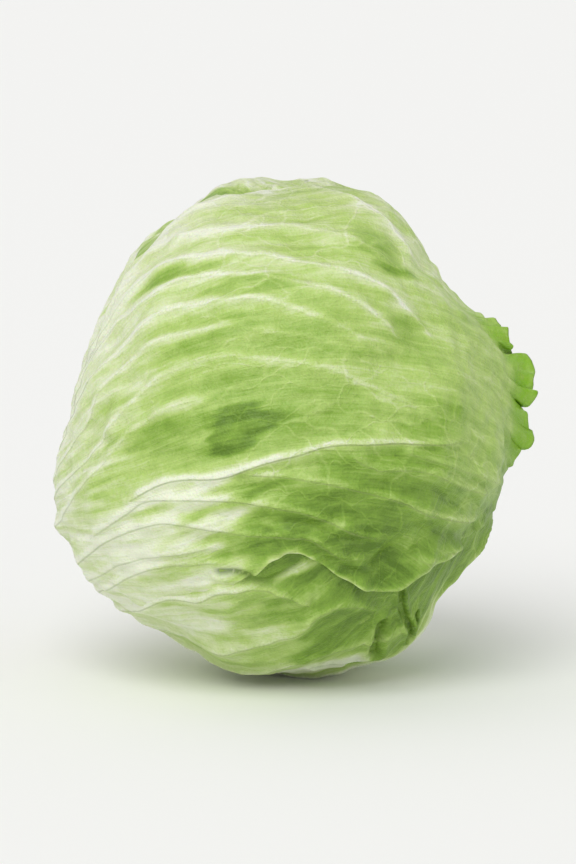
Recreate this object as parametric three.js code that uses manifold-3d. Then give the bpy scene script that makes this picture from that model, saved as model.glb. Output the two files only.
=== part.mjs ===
// A head of iceberg lettuce, lying on its side as it rests after picking.
//
// The head is a stack of cupped leaves wrapped round a short tapering stem. Every leaf is one closed
// solid. Directions are measured from the centre of the head in "stem polar" angles: the first angle
// is the distance in degrees from the middle of the cut stem (180 is the crown, where the tips meet,
// and more than 180 has passed over it), the second is the turn round the stem, with 0 facing the
// front (-Y), positive turning up and negative turning down.
//
// Millimetres and degrees. +Z is up, the front is -Y, the origin is on the ground under the centre.

import * as THREE from "three";
import { mergeVertices } from "three/addons/utils/BufferGeometryUtils.js";
import Module from "manifold-3d";

const wasm = await Module();
wasm.setup();

// ---- Driving sizes ----------------------------------------------------------------------------

const HEAD_RADIUS = 75; // mean radius of the head seen from the front
const HEAD_DEPTH = 148; // size of the head from front to back
const RESTING_SINK = 4; // how far the head's own weight flattens its underside
const LEAF_THICKNESS = 1.4;
const LEAF_CLEARANCE = 0.35; // least gap left between neighbouring solids
const STEM_RADIUS = 16; // at the cut face
const STEM_RECESS = 2; // cut face below the round of the head
const STEM_AZIMUTH = 158; // which way the cut face looks, turning from +X towards +Y
const STEM_TILT = -20; // and how far it looks down
const FRILL_REACH = 9; // how far the loose rim of the front leaf stands off the head

// Departure from HEAD_RADIUS every 15 degrees round the front view, from +X turning up.
const OUTLINE_STEP = 15;
const OUTLINE = [
  -1, -0.5, -3, -3.5, 1, 4.5, 5, 5.5, 2.5, -1.5, -4, -4.5, -3.5, 1.5, 4, 3.5, 2.5, 5, 8, 8, 3.5, -2, -3, -3,
];

// ---- Mesh fineness ----------------------------------------------------------------------------

const WIDE_CELLS = 18; // facets across the two leaves that show most
const OUTER_CELLS = 14;
const INNER_CELLS = 8;
const STEM_SIDES = 24;
const HEART_SEGMENTS = 14;
const OUTER_SPAN = 230; // degrees of the head that the widest outer leaf spans
const OUTER_SLANT = 1.6; // longest diagonal of its cells over their side
const INNER_SPAN = 186;
const INNER_SLANT = 1.15;

// ---- Leaves -----------------------------------------------------------------------------------

// Rims go round from the base, which clasps half of the stem: [distance from the stem, turn round it].
const FRONT_RIM = [
  [2, 36], [4, -50], [18, -52], [34, -42], [50, -31], [68, -23], [87, -22], [102, -22], [109, -36], [115, -50],
  [124, -56], [131, -66], [132, -85], [134, -105], [144, -125], [150, -145], [152, -168], [151, 168], [148, 145],
  [142, 125], [128, 112], [108, 102], [92, 93], [80, 76], [66, 67], [45, 70], [25, 86], [5, 122],
];
const LOWER_RIM = [
  [2, -68], [4, 20], [18, 6], [40, -8], [65, -6], [90, -4], [115, -10], [138, -30], [150, -70], [146, -105],
  [130, -122], [105, -130], [80, -132], [55, -134], [35, -138], [18, -148], [4, -158],
];
const CROWN_RIM = [
  [2, 132], [4, 44], [18, 54], [38, 62], [62, 60], [88, 62], [112, 66], [135, 74], [158, 90], [168, 135],
  [158, -175], [132, -166], [108, -162], [84, -164], [60, -168], [38, -174], [18, -156], [4, -140],
];
const BACK_RIM = [
  [2, -148], [4, -60], [18, -72], [38, -84], [62, -86], [88, -88], [112, -92], [136, -98], [158, -116],
  [164, -150], [156, 170], [132, 158], [108, 152], [84, 152], [60, 154], [38, 156], [18, 144], [4, 126],
];
// A leaf that is tucked in all round keeps one plain outline: [distance from the stem, half its turn].
const TUCKED_BASE = 2;
const TUCKED_TIP = 186;
const TUCKED_EDGE = [[4, 88], [18, 80], [38, 72], [62, 72], [88, 74], [112, 74], [136, 76], [158, 84], [176, 60]];

const OUTER_LEAVES = [
  { name: "outer_leaf_front", centre: [100, 36], rim: FRONT_RIM, cells: WIDE_CELLS, frill: { towards: 2, spread: 40 } },
  { name: "outer_leaf_lower", centre: [84, -68], rim: LOWER_RIM, cells: WIDE_CELLS },
  { name: "outer_leaf_crown", centre: [86, 132], rim: CROWN_RIM },
  { name: "outer_leaf_back", centre: [86, -148], rim: BACK_RIM },
  { name: "outer_leaf_upper", centre: [86, 80] },
  { name: "outer_leaf_side", centre: [86, -20] },
  { name: "outer_leaf_ground", centre: [86, -110] },
  { name: "outer_leaf_rear", centre: [86, 178] },
];
const INNER_LEAF_COUNT = 10;
const FIRST_INNER_TURN = 100;
const LEAF_DIVERGENCE = 137.5; // turn from one leaf to the next round the stem

// ---- Directions and the outside of the head ---------------------------------------------------

const radians = (degrees) => THREE.MathUtils.degToRad(degrees);
const smooth = (x) => THREE.MathUtils.smoothstep(x, 0, 1);

const stemAxis = new THREE.Vector3(
  Math.cos(radians(STEM_AZIMUTH)) * Math.cos(radians(STEM_TILT)),
  Math.sin(radians(STEM_AZIMUTH)) * Math.cos(radians(STEM_TILT)),
  Math.sin(radians(STEM_TILT)),
);
const forward = new THREE.Vector3(0, -1, 0);
const turnZero = forward.clone().addScaledVector(stemAxis, -forward.dot(stemAxis)).normalize();
const turnQuarter = new THREE.Vector3().crossVectors(stemAxis, turnZero);

function fromStem(distance, turn) {
  const along = radians(distance);
  const round = radians(turn);
  return stemAxis.clone().multiplyScalar(Math.cos(along))
    .addScaledVector(turnZero, Math.sin(along) * Math.cos(round))
    .addScaledVector(turnQuarter, Math.sin(along) * Math.sin(round));
}

// A smooth closed curve y(x), x in degrees, through knots [[x, y], ...] sorted by x.
function closedCurve(knots) {
  const count = knots.length;
  const knot = (i) => {
    const lap = Math.floor(i / count);
    const [x, y] = knots[i - lap * count];
    return [x + 360 * lap, y];
  };
  const slope = (i) => (knot(i + 1)[1] - knot(i - 1)[1]) / (knot(i + 1)[0] - knot(i - 1)[0]);
  return (angle) => {
    const x = knots[0][0] + THREE.MathUtils.euclideanModulo(angle - knots[0][0], 360);
    let i = 0;
    while (knot(i + 1)[0] <= x) i++;
    const [x0, y0] = knot(i);
    const [x1, y1] = knot(i + 1);
    const h = x1 - x0;
    const t = (x - x0) / h;
    return y0 * (1 + 2 * t) * (1 - t) ** 2 + slope(i) * h * t * (1 - t) ** 2
      + y1 * t * t * (3 - 2 * t) - slope(i + 1) * h * t * t * (1 - t);
  };
}

const outline = closedCurve(OUTLINE.map((departure, i) => [OUTLINE_STEP * i, HEAD_RADIUS + departure]));
const centreHeight = outline(270) - RESTING_SINK;

// Distance from the centre to the outside of the head, cut flat where it rests.
function headRadius(direction) {
  const round = outline(THREE.MathUtils.radToDeg(Math.atan2(direction.z, direction.x)));
  const across = 1 - direction.y ** 2;
  const radius = 1 / Math.sqrt(across / round ** 2 + (2 * direction.y / HEAD_DEPTH) ** 2);
  return direction.z < 0 ? Math.min(radius, -centreHeight / direction.z) : radius;
}

const pointAt = (direction, radius) =>
  direction.clone().multiplyScalar(radius).add(new THREE.Vector3(0, 0, centreHeight));

// Half-angle of the cone that is kept free for the stem, seen from the centre of the head.
const cutFaceRadius = headRadius(stemAxis) - STEM_RECESS;
const stemCone = Math.asin(STEM_RADIUS / cutFaceRadius);

// Moves a direction away from the stem, so that a leaf's base stands round it.
function clearOfStem(direction) {
  const distance = direction.angleTo(stemAxis);
  const moved = Math.hypot(distance, stemCone);
  const side = direction.clone().addScaledVector(stemAxis, -direction.dot(stemAxis)).normalize();
  return stemAxis.clone().multiplyScalar(Math.cos(moved)).addScaledVector(side, Math.sin(moved));
}

// ---- One leaf ---------------------------------------------------------------------------------

// Flat facets dip below the curve that they follow, most of all across a slanting cell.
const facetDip = (radius, facet) => radius * (1 - Math.cos(radians(facet / 2)));
const leafPitch = (radius, facet) => LEAF_THICKNESS + LEAF_CLEARANCE + facetDip(radius, facet);

const outerPitch = leafPitch(HEAD_RADIUS, OUTER_SLANT * OUTER_SPAN / WIDE_CELLS);
const innerStart = OUTER_LEAVES.length * outerPitch;
const innerPitch = leafPitch(HEAD_RADIUS - innerStart, INNER_SLANT * INNER_SPAN / INNER_CELLS);
const heartDepth = innerStart + INNER_LEAF_COUNT * innerPitch + LEAF_CLEARANCE;

const COVER_MARGIN = 13; // degrees past a leaf's rim that the leaf below stays down
const COVER_FADE = 32; // and over which it rises to the outside again

// The leaves keep the shape of the outside all the way in, each one smaller than the last.
const layerRadius = (direction, depth) => headRadius(direction) * (1 - depth / HEAD_RADIUS);

function leafFrame({ centre: [distance, turn], rim }) {
  const middle = fromStem(distance, turn);
  const tipward = fromStem(distance + 90, turn);
  const sideward = new THREE.Vector3().crossVectors(middle, tipward);
  const locate = (direction) => ({
    reach: THREE.MathUtils.radToDeg(middle.angleTo(direction)),
    bearing: THREE.MathUtils.radToDeg(Math.atan2(direction.dot(sideward), direction.dot(tipward))),
  });
  const direct = (reach, bearing) =>
    middle.clone().multiplyScalar(Math.cos(radians(reach)))
      .addScaledVector(tipward, Math.sin(radians(reach)) * Math.cos(radians(bearing)))
      .addScaledVector(sideward, Math.sin(radians(reach)) * Math.sin(radians(bearing)));
  const points = rim ?? tuckedRim(turn);
  const knots = points.map(([d, t]) => locate(fromStem(d, t)))
    .map(({ reach, bearing }) => [bearing, reach])
    .sort((a, b) => a[0] - b[0]);
  return { locate, direct, rimReach: closedCurve(knots) };
}

function tuckedRim(turn) {
  const edge = (side) => TUCKED_EDGE.map(([distance, half]) => [distance, turn + side * half]);
  return [[TUCKED_BASE, turn], ...edge(1), [TUCKED_TIP, turn], ...edge(-1).reverse()];
}

// 1 under a leaf and just past its rim, falling to 0 well outside it.
function coverOf(frame, direction) {
  const { reach, bearing } = frame.locate(direction);
  const past = reach - frame.rimReach(bearing) - COVER_MARGIN;
  return 1 - smooth(past / COVER_FADE);
}

// Point of a square from -1 to 1 to a share of a disc's radius and a bearing in degrees.
function squareToDisc(x, y) {
  if (Math.abs(x) >= Math.abs(y))
    return { share: Math.abs(x), bearing: x === 0 ? 0 : 45 * (y / x) + (x < 0 ? 180 : 0) };
  return { share: Math.abs(y), bearing: 90 - 45 * (x / y) + (y < 0 ? 180 : 0) };
}

// The rim of a frilled leaf lifts off the head round one bearing.
function frillLift(frill, share, bearing) {
  if (!frill) return 0;
  const away = Math.abs(THREE.MathUtils.euclideanModulo(bearing - frill.towards + 180, 360) - 180);
  return FRILL_REACH * smooth(1.6 * (1 - away / frill.spread)) * share ** 14;
}

function leafGeometry(frame, cells, depthAt, frill) {
  const outside = [];
  const inside = [];
  for (let row = 0; row <= cells; row++)
    for (let column = 0; column <= cells; column++) {
      const { share, bearing } = squareToDisc((2 * column) / cells - 1, (2 * row) / cells - 1);
      const place = frame.direct(share * frame.rimReach(bearing), bearing);
      const direction = clearOfStem(place);
      const radius = layerRadius(direction, depthAt(place)) + frillLift(frill, share, bearing);
      outside.push(pointAt(direction, radius));
      inside.push(pointAt(direction, radius - LEAF_THICKNESS));
    }
  return solidGrid(outside, inside, cells);
}

// Two grids of points, joined along their edges into one closed solid. A cell folds along its shorter
// diagonal, which keeps it close to the round of the head.
function solidGrid(outside, inside, cells) {
  const span = cells + 1;
  const back = span * span;
  const points = [...outside, ...inside];
  const faces = [];
  const quad = (a, b, c, d) => {
    const shorter = points[a].distanceTo(points[c]) < points[b].distanceTo(points[d]);
    faces.push(...(shorter ? [a, b, c, a, c, d] : [a, b, d, b, c, d]));
  };
  for (let row = 0; row < cells; row++)
    for (let column = 0; column < cells; column++) {
      const a = row * span + column;
      quad(a, a + 1, a + 1 + span, a + span);
      quad(back + a, back + a + span, back + a + span + 1, back + a + 1);
    }
  for (let i = 0; i < cells; i++) {
    const last = cells * span;
    quad(i + 1, i, back + i, back + i + 1);
    quad(last + i, last + i + 1, back + last + i + 1, back + last + i);
    quad(i * span, (i + 1) * span, back + (i + 1) * span, back + i * span);
    quad((i + 1) * span + cells, i * span + cells, back + i * span + cells, back + (i + 1) * span + cells);
  }
  const geometry = new THREE.BufferGeometry();
  geometry.setFromPoints(points);
  geometry.setIndex(faces);
  return geometry;
}

// ---- Solids and booleans ----------------------------------------------------------------------

function toSolid(geometry) {
  const bare = new THREE.BufferGeometry();
  bare.setAttribute("position", geometry.getAttribute("position"));
  bare.setIndex(geometry.index);
  const merged = mergeVertices(bare, 1e-4);
  return new wasm.Manifold(new wasm.Mesh({
    numProp: 3,
    vertProperties: merged.attributes.position.array,
    triVerts: new Uint32Array(merged.index.array),
  }));
}

function toGeometry(solid) {
  const mesh = solid.getMesh();
  const geometry = new THREE.BufferGeometry();
  geometry.setAttribute("position", new THREE.BufferAttribute(mesh.vertProperties, 3));
  geometry.setIndex(new THREE.BufferAttribute(mesh.triVerts, 1));
  geometry.computeVertexNormals();
  return geometry;
}

const leafMaterial = (colour) =>
  new THREE.MeshStandardMaterial({ color: colour, roughness: 0.5, metalness: 0, side: THREE.DoubleSide });

function named(name, geometry, material) {
  const mesh = new THREE.Mesh(geometry, material);
  mesh.name = name;
  return mesh;
}

// ---- Stem and heart ---------------------------------------------------------------------------

const stemTip = layerRadius(stemAxis, heartDepth) + 3 * LEAF_CLEARANCE;

// A cone round the stem axis that narrows to the centre of the head, between two distances from it.
function stemGeometry(clearance, from, to) {
  const radiusAt = (distance) => distance * Math.tan(stemCone) + clearance;
  const bevel = 1.2;
  const profile = clearance > 0
    ? [[0, from], [radiusAt(from), from], [radiusAt(to), to], [0, to]]
    : [[0, from], [radiusAt(from), from], [radiusAt(to - bevel), to - bevel], [radiusAt(to) - bevel, to], [0, to]];
  const geometry = new THREE.LatheGeometry(profile.map(([r, y]) => new THREE.Vector2(Math.max(r, 0), y)), STEM_SIDES);
  geometry.applyQuaternion(new THREE.Quaternion().setFromUnitVectors(new THREE.Vector3(0, 1, 0), stemAxis));
  geometry.translate(0, 0, centreHeight);
  return geometry;
}

function heartGeometry() {
  const geometry = new THREE.SphereGeometry(1, HEART_SEGMENTS, HEART_SEGMENTS);
  const position = geometry.getAttribute("position");
  for (let i = 0; i < position.count; i++) {
    const direction = new THREE.Vector3().fromBufferAttribute(position, i).normalize();
    const point = pointAt(direction, layerRadius(direction, heartDepth));
    position.setXYZ(i, point.x, point.y, point.z);
  }
  return geometry;
}

// ---- The head ---------------------------------------------------------------------------------

const sleeve = toSolid(stemGeometry(LEAF_CLEARANCE, 0.5 * stemTip, 2 * HEAD_RADIUS));
const cutRoundStem = (geometry) => toGeometry(toSolid(geometry).subtract(sleeve));

const head = new THREE.Group();
head.name = "lettuce_head";

const frames = OUTER_LEAVES.map(leafFrame);
OUTER_LEAVES.forEach(({ name, frill, cells = OUTER_CELLS }, order) => {
  const above = frames.slice(0, order);
  const depthAt = (place) => outerPitch * above.reduce((sum, frame) => sum + coverOf(frame, place), 0);
  const geometry = leafGeometry(frames[order], cells, depthAt, frill);
  const green = new THREE.Color(0xb9d77f).lerp(new THREE.Color(0xd9e8b4), order / OUTER_LEAVES.length);
  head.add(named(name, cutRoundStem(geometry), leafMaterial(green)));
});

for (let i = 0; i < INNER_LEAF_COUNT; i++) {
  const turn = FIRST_INNER_TURN + LEAF_DIVERGENCE * i;
  const frame = leafFrame({ centre: [86, turn] });
  const depth = innerStart + i * innerPitch;
  const geometry = leafGeometry(frame, INNER_CELLS, () => depth, null);
  const pale = new THREE.Color(0xe3ecc2).lerp(new THREE.Color(0xf3f0c8), i / INNER_LEAF_COUNT);
  head.add(named(`inner_leaf_${String(i + 1).padStart(2, "0")}`, cutRoundStem(geometry), leafMaterial(pale)));
}

const heart = toGeometry(toSolid(heartGeometry()));
head.add(named("heart", heart, leafMaterial(0xf2eeb4)));

const stem = toGeometry(toSolid(stemGeometry(0, stemTip, cutFaceRadius)));
head.add(named("stem", stem, new THREE.MeshStandardMaterial({ color: 0xeee6cf, roughness: 0.6, metalness: 0 })));

export default head;
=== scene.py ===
"""A head of crisphead lettuce, dressed leaf by leaf round its CAD frame.

Directions are measured from the centre of the head in "stem polar" angles, in degrees: the first is
the distance from the middle of the cut stem (180 is the crown, where the leaf tips meet), the second
is the turn round the stem, with 0 facing the front (-Y) and positive turning up. Leaf shapes are
worked out in millimetres and become metres when a mesh is made.
"""

import math
from types import SimpleNamespace

import bpy
import numpy as np
from bpy.props import FloatProperty, FloatVectorProperty, PointerProperty
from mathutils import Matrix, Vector


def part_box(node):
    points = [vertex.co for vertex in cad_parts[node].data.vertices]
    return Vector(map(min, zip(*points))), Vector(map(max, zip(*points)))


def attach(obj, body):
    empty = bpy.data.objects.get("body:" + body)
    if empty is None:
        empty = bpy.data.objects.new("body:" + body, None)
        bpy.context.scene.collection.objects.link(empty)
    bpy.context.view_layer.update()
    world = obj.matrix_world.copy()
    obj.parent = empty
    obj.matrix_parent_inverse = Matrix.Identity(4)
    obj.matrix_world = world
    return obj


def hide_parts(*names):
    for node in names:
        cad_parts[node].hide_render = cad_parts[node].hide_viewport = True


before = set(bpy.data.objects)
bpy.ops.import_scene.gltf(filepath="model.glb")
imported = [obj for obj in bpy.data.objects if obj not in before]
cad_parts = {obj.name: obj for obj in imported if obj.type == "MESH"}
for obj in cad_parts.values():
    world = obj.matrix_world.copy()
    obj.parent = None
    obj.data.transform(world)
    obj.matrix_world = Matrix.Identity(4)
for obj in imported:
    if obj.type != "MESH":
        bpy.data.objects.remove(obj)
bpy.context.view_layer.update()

bl_info = {
    "name": "Crisphead lettuce",
    "version": (1, 0, 0),
    "blender": (4, 5, 0),
    "location": "3D View > Sidebar > Lettuce",
    "description": "Dresses the leaves, heart and stem of a head of lettuce over its CAD frame",
    "category": "Add Mesh",
}

MM = 0.001
BODY = "root"


def linear(code):
    """The linear colour of an sRGB hex value."""
    channels = [int(code[i:i + 2], 16) / 255 for i in (0, 2, 4)]
    return tuple(c / 12.92 if c <= 0.04045 else ((c + 0.055) / 1.055) ** 2.4 for c in channels)


# ---- Sizes and colours ------------------------------------------------------------------------


def size(name, millimetres, description):
    return FloatProperty(name=name, default=millimetres * MM, description=description, unit="LENGTH")


def in_millimetres(group):
    """The lengths of a group, in the millimetres that shapes are worked out in."""
    return SimpleNamespace(**{name: getattr(group, name) / MM for name in type(group).__annotations__})


def colour(name, code, description):
    return FloatVectorProperty(name=name, default=linear(code), subtype="COLOR", min=0, max=1,
                               description=description)


class LettuceHead(bpy.types.PropertyGroup):
    """The round of the head, as the CAD frame has it."""
    radius: size("Radius", 75.0, "Mean radius of the head seen from the front")
    depth: size("Depth", 148.0, "Size of the head from front to back")
    height: size("Height", 79.0, "Centre of the head over what it rests on")
    stem_radius: size("Stem radius", 16.0, "Radius of the cut stem")
    stem_recess: size("Stem recess", 2.0, "Cut face below the round of the head")
    undulation: size("Undulation", 0.8, "Height of the slow swells over the whole head")


class LettuceLeaves(bpy.types.PropertyGroup):
    """Sizes that all the leaves share."""
    thickness: size("Thickness", 1.1, "Thickness of a leaf between its veins")
    pitch: size("Pitch", 1.9, "Distance from one leaf's face to the next one's")
    vein_height: size("Vein height", 0.35, "Height of a side vein over the leaf")
    vein_width: size("Vein width", 1.0, "Half width of a side vein")
    sag: size("Sag", 1.0, "How far the leaf sinks between its veins")
    frill_reach: size("Frill reach", 7.5, "How far the loose tip stands off the head")
    ruffle: size("Ruffle", 0.55, "How far the small puckers of the loose tip swing")


class LettuceColours(bpy.types.PropertyGroup):
    """Colours of the leaf, from its base to its sunlit patches, and of the cut stem."""
    cream: colour("Cream", "e7edd3", "Leaf base and ribs, which grew out of the light")
    pale_green: colour("Pale green", "d0dea6", "Leaf near its base and beside its ribs")
    light_green: colour("Light green", "b1cb70", "Leaf between the veins")
    green: colour("Green", "86aa3e", "Leaf that grew in the light")
    deep_green: colour("Deep green", "5a7c1a", "Greenest patches of the leaf")
    # painted shadow: the vein line is a darker line painted along one side of each raised vein, where its
    # shadow falls
    vein_shadow_line: colour("Vein line", "8a9c58", "Fine line beside a vein")
    tip_green: colour("Tip green", "7fb010", "Loose frilled tip")
    heart: colour("Heart", "f1efb8", "Inner leaves")
    stem_flesh: colour("Stem flesh", "f0ead2", "Freshly cut stem")
    stem_rust: colour("Stem rust", "b98a5a", "Browned parts of the cut")


class LettuceStage(bpy.types.PropertyGroup):
    """Where the camera stands, and the floor."""
    view_height: FloatProperty(name="View height", default=math.radians(8), subtype="ANGLE",
                               description="How far above level the camera looks from")
    view_distance: size("View distance", 1548.0, "From the camera to the centre of the head")
    lens: FloatProperty(name="Lens", default=200.0, unit="CAMERA",
                        description="Focal length of the camera")
    floor: colour("Floor", "f4f4f2", "Pale studio floor")


# ---- Shapes of the head and its leaves --------------------------------------------------------

STEM_AZIMUTH = 158  # which way the cut face looks, turning from +X towards +Y
STEM_TILT = -20  # and how far it looks down

# Departure from the head's radius every 15 degrees round the front view, from +X turning up.
OUTLINE_STEP = 15
OUTLINE = [
    -2, -2, -3, -4.2, 2.4, 6.6, 5.2, 5.8, 4.0, 0.2, -4.2, -4.2,
    -4.4, 2.6, 4.6, 1.8, 0.9, 3.4, 4.6, 4.8, 2, -3.8, -4.6, -3,
]

# Rims go round from the base, which clasps half of the stem.
FRONT_RIM = [
    (2, 36), (4, -50), (18, -52), (34, -43), (50, -33), (62, -28), (74, -27), (81, -26), (85, -23),
    (89, -22), (96, -22), (103, -21), (106, -26), (108, -34), (110, -40), (113, -47), (117, -52),
    (122, -56), (127, -60), (131, -70), (133, -86), (138, -104), (147, -122), (153, -145),
    (156, -168), (157, 172), (155, 150), (149, 130), (132, 113), (112, 102), (101, 92), (95, 84),
    (88, 77), (82, 73), (76, 70), (68, 68), (58, 69), (43, 71), (25, 86), (5, 122),
]
LOWER_RIM = [
    (2, -68), (4, 20), (18, 6), (40, -8), (65, -6), (90, -4), (115, -10), (138, -30), (150, -70),
    (146, -105), (130, -122), (105, -130), (80, -132), (55, -134), (35, -138), (18, -148),
    (4, -158),
]
CROWN_RIM = [
    (2, 132), (4, 44), (18, 54), (38, 62), (62, 60), (88, 62), (112, 66), (135, 74), (158, 90),
    (168, 135), (158, -175), (132, -166), (108, -162), (84, -164), (60, -168), (38, -174),
    (18, -156), (4, -140),
]
BACK_RIM = [
    (2, -148), (4, -60), (18, -72), (38, -84), (62, -86), (88, -88), (112, -92), (136, -98),
    (158, -116), (164, -150), (156, 170), (132, 158), (108, 152), (84, 152), (60, 154), (38, 156),
    (18, 144), (4, 126),
]
# A leaf that is tucked in all round keeps one plain outline: distance and half its turn.
TUCKED_BASE = 2
TUCKED_TIP = 186
TUCKED_EDGE = [
    (4, 88), (18, 80), (38, 72), (62, 72), (88, 74), (112, 74), (136, 76), (158, 84), (176, 60),
]

# Veins of the front leaf: strength and the line it follows.
FRONT_VEINS = [
    (1.7, [(62, 3), (72, 5), (80, 6), (87, 5), (95, 3), (103, 3), (114, 2), (124, 0), (133, -5),
           (148, -19), (159, -48)]),
    (1.0, [(95, 3), (102, 1), (112, -4), (117, -8), (126, -18), (132, -28), (136, -44), (140, -70),
           (137, -100)]),
    (0.6, [(124, -2), (130, -12), (140, -23), (147, -54), (147, -82)]),
    (0.5, [(135, -8), (144, -23), (151, -53), (147, -98)]),
    (1.0, [(30, -14), (64, 1), (73, 3), (83, 1), (91, -2), (100, -6), (110, -13), (115, -20),
           (120, -30), (125, -36)]),
    (0.9, [(14, -40), (26, -24), (55, -5), (68, -3), (79, -4), (91, -11), (107, -19), (112, -31),
           (118, -38)]),
    (0.6, [(15, -42), (28, -30), (55, -13), (67, -11), (78, -12), (89, -14)]),
    (0.8, [(16, -46), (30, -36), (59, -16), (70, -14), (80, -16), (86, -18)]),
    (0.6, [(12, -12), (30, 3), (55, 14), (69, 20), (85, 23), (99, 22)]),
    (0.8, [(14, 4), (23, 13), (51, 20), (68, 26), (84, 31), (101, 31), (116, 27), (128, 21), (142, 8),
           (151, -8)]),
    (0.6, [(13, 14), (23, 20), (51, 31), (67, 38), (88, 40), (108, 37), (124, 32), (138, 24)]),
    (1.0, [(13, 26), (26, 34), (52, 42), (80, 46), (92, 47), (106, 45), (118, 42), (131, 34),
           (147, 21)]),
    (1.2, [(14, 38), (40, 46), (65, 55), (84, 53), (97, 54), (111, 51), (126, 47), (142, 39),
           (154, 23)]),
    (1.2, [(16, 48), (50, 57), (82, 62), (100, 59), (115, 57), (129, 54), (142, 54), (155, 46),
           (162, 21)]),
    (0.7, [(18, 56), (60, 64), (83, 71), (101, 66), (118, 70), (134, 68), (148, 69)]),
    (1.0, [(60, 66), (84, 76), (101, 81), (112, 91), (130, 90), (141, 89), (152, 84)]),
    (0.4, [(125, -49), (127, -55), (131, -63), (132, -78)]),
]
LOWER_VEINS = [
    (0.9, [(12, -70), (34, -45), (62, -26), (73, -27), (81, -25), (91, -28), (97, -35), (99, -41)]),
    (0.8, [(14, -74), (38, -51), (61, -48), (84, -45), (92, -44), (98, -41), (104, -42), (108, -50),
           (108, -63)]),
    (0.6, [(16, -80), (40, -62), (65, -60), (90, -56), (102, -65), (117, -82)]),
    (1.6, [(12, -84), (40, -78), (70, -76), (95, -78), (120, -92), (140, -112)]),
    (0.8, [(20, -96), (50, -94), (80, -96), (105, -106), (125, -118)]),
    (0.7, [(24, -112), (50, -110), (80, -114), (102, -124)]),
]
# Slits and folds pressed into the lower leaf, with painted shade in their grooves: depth and half width
# in millimetres, and its line.
LOWER_CREASES = [
    (3.0, 0.9, [(116, -57), (113, -61), (110, -68), (108, -73), (105, -77)]),
    (2.2, 0.7, [(112, -72), (111, -73), (109, -75)]),
    (3.0, 1.4, [(107, -61), (104, -64), (101, -66), (98, -70)]),
    (1.0, 1.3, [(89, -24), (93, -26), (98, -26), (102, -25)]),
    (1.8, 0.9, [(85, -64), (89, -69), (93, -72)]),
]
FRONT_CREASES = [
    (1.2, 1.2, [(83, -20), (87, -21), (90, -23)]),
    (1.4, 1.1, [(129, -84), (126, -78), (123, -73)]),
]

# Hollows and swells: middle, half length along the leaf, half width across it, height, millimetres.
FRONT_SWELLS = [
    ((22, -3), 9, 6, 2.8),
    ((120, -42), 9, 6, -4.2),
    ((112, -41), 5, 3, 0.8),
    ((127, -54), 11, 3, 1.8),
    ((126, -75), 6, 3, -2.0),
    ((104, 12), 14, 7, 0.9),
    ((108, -8), 12, 5, 0.8),
    ((118, -23), 13, 5, 1.3),
    ((136, 4), 12, 7, 0.8),
    ((120, 46), 30, 5, 0.8),
    ((92, 36), 20, 6, 0.7),
    ((139, 104), 10, 8, 1.6),
    ((150, 96), 5, 10, -1.6),
]
LOWER_SWELLS = [
    ((96, -27), 9, 3, -2.2),
    ((93, -42), 14, 6, 0.9),
    ((104, -65), 6, 4, -1.6),
    ((100, -70), 7, 5, 1.0),
]
CROWN_SWELLS = [
    ((100, 97), 10, 7, 2.0),
    ((80, 88), 12, 8, -0.6),
]
# Greener and paler patches, of the leaf's own colour except where marked as painted light or shade:
# middle, half length and half width in millimetres, and the tone that the patch tends to, from 0 for deep
# green to 1 for cream.
FRONT_PATCHES = [
    ((101, 16), 12, 4.5, 0.06),
    ((104, 13), 12, 4.5, 0.1),
    ((98, 9), 8, 3.5, 0.14),
    ((92, 17), 6, 4, 0.3),
    ((80, 18), 11, 4, 0.36),
    ((97, -14), 6, 3.5, 0.22),
    ((104, -4), 9, 2.5, 0.2),
    ((108, -16), 16, 4.5, 0.1),
    ((104, -27), 8, 2.5, 0.22),
    ((118, -14), 12, 3, 0.16),
    ((121, -26), 16, 5.5, 0.1),
    ((132, -19), 14, 4, 0.22),
    # painted shade: deep green filling the hollow above the lip
    ((121, -41), 9, 6, 0.04),
    ((132, -42), 14, 7, 0.26),
    ((94, 36), 12, 3, 0.38),
    ((118, 34), 18, 4, 0.36),
    ((112, 49), 20, 3, 0.42),
    ((88, 57), 14, 2.5, 0.42),
    ((140, 70), 12, 7, 0.3),
    ((152, 36), 12, 6, 0.4),
    ((60, 10), 16, 5, 0.6),
    ((66, -5), 30, 9, 0.95),
    ((88, -7), 8, 5, 0.9),
    ((82, 3), 16, 2.5, 1.0),
    ((52, -24), 26, 10, 0.95),
    ((80, -20), 14, 4, 0.9),
    ((62, 34), 22, 3, 0.84),
    ((74, 50), 22, 4, 0.84),
]
LOWER_PATCHES = [
    ((96, -35), 12, 5, 0.3),
    ((103, -50), 16, 7, 0.14),
    ((94, -53), 14, 4.5, 0.22),
    ((112, -68), 16, 9, 0.22),
    ((60, -36), 24, 10, 0.9),
    ((91, -68), 7, 3.5, 1.1),
    ((104, -28), 6, 1.8, 0.8),
    # painted light: the bottom of the head is painted paler to stand in for light thrown up by the floor
    ((88, -84), 30, 12, 0.82),
    ((80, -66), 24, 5, 0.95),
]
CROWN_PATCHES = [
    ((91, 88), 22, 6, 0.36),
    ((74, 82), 16, 6, 0.42),
]


# Degrees from a leaf's rim to where the leaf below it starts to rise, and the width of that rise.
SNUG_MARGIN = -8.0
GAPING_MARGIN = 1.0
COVER_FADE = 9.0
PALE_PATCH = 0.3  # patches of a lower tone than this end sharply
FRILL_LOBE = 6.0  # degrees round the leaf from one lobe of the frilled tip to the next
RIM_CROWDING = 1.15  # over 1, cells are smaller towards the rim
GRAIN_SPACING = 50.0  # sets the pattern of each leaf apart from the next one's

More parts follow.
